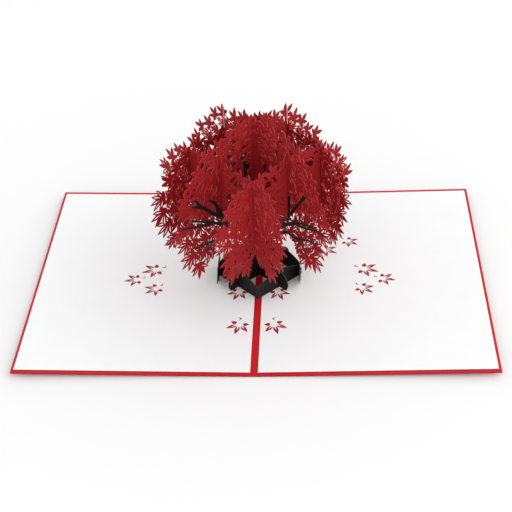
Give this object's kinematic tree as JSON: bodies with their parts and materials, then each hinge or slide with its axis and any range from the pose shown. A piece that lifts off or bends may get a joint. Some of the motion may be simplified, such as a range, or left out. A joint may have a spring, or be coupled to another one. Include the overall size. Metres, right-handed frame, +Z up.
{
  "type": "pop up card",
  "caption": "Open pop-up greeting card: a folded red cover with white leaf-cut panels and a slotted paper tree with black boughs and a red lace crown.",
  "frame": {"origin": "middle of the spine strip's underside, on the table", "axes": "+X across the open card, +Y from the front edge to the back edge, +Z up"},
  "size_m": [0.254, 0.178, 0.1054],
  "materials": {
    "red_card": "matte",
    "white_card": "matte",
    "black_card": "matte",
    "red_lace": "matte"
  },
  "bodies": {
    "root": {"cover": "red_card", "left_inner_panel": "white_card", "right_inner_panel": "white_card", "front_fold_strip": "black_card", "back_fold_strip": "black_card", "left_side_tab": "black_card", "right_side_tab": "black_card", "tree_sheet_a": "black_card", "tree_sheet_b": "black_card", "crown_sheet_a": "red_lace", "crown_sheet_b": "red_lace", "crown_sheet_front_right": "red_lace", "crown_sheet_back_left": "red_lace", "crown_sheet_front_left": "red_lace", "crown_sheet_back_right": "red_lace"}
  },
  "joints": []
}
